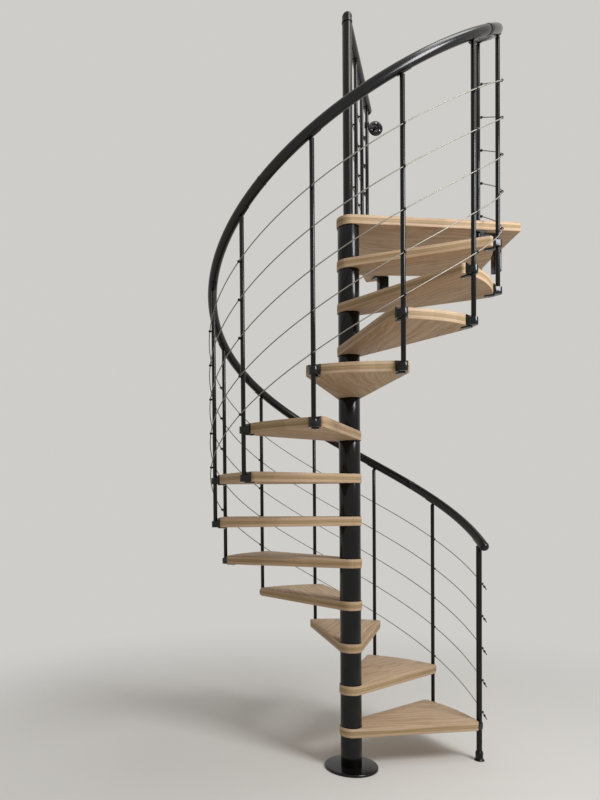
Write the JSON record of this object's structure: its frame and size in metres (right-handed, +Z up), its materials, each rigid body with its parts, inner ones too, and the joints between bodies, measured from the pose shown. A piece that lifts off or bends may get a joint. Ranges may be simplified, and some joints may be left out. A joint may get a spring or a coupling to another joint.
{
  "type": "spiral staircase",
  "caption": "Round spiral stair: wedge wooden treads on a dark steel column, a helical tube rail on slim uprights with steel cables, and a wooden landing at the top.",
  "frame": {"origin": "centre of the base disc's underside, on the floor", "axes": "+Z up along the column, +X from the column to the first post; the flight climbs anticlockwise seen from above and ends over the first post"},
  "size_m": [1.683, 1.47, 3.7635],
  "materials": {
    "black_steel": "satin black powder coat",
    "wood": "light oak, matt lacquer",
    "cable_steel": "stainless wire rope"
  },
  "bodies": {
    "root": {"balusters": "black_steel", "base_disc": "black_steel", "cable_1": "cable_steel", "cable_2": "cable_steel", "cable_3": "cable_steel", "cable_4": "cable_steel", "cable_5": "cable_steel", "cable_end_fittings": "black_steel", "cable_eyes": "black_steel", "column_rings": "black_steel", "column_spacers": "black_steel", "first_post": "black_steel", "first_post_foot": "black_steel", "front_clamps": "black_steel", "handrail": "black_steel", "landing": "wood", "landing_balusters": "black_steel", "landing_brackets": "black_steel", "landing_cables": "cable_steel", "landing_end_fittings": "black_steel", "landing_eyes": "black_steel", "landing_feet": "black_steel", "landing_post_plate": "black_steel", "landing_rail": "black_steel", "mast": "black_steel", "mast_cap": "black_steel", "rail_end_caps": "black_steel", "rail_joint_rings": "black_steel", "rail_saddles": "black_steel", "rear_cups": "black_steel", "tread_01": "wood", "tread_02": "wood", "tread_03": "wood", "tread_04": "wood", "tread_05": "wood", "tread_06": "wood", "tread_07": "wood", "tread_08": "wood", "tread_09": "wood", "tread_10": "wood", "tread_11": "wood", "tread_12": "wood", "wall_rosette": "black_steel"}
  },
  "joints": []
}
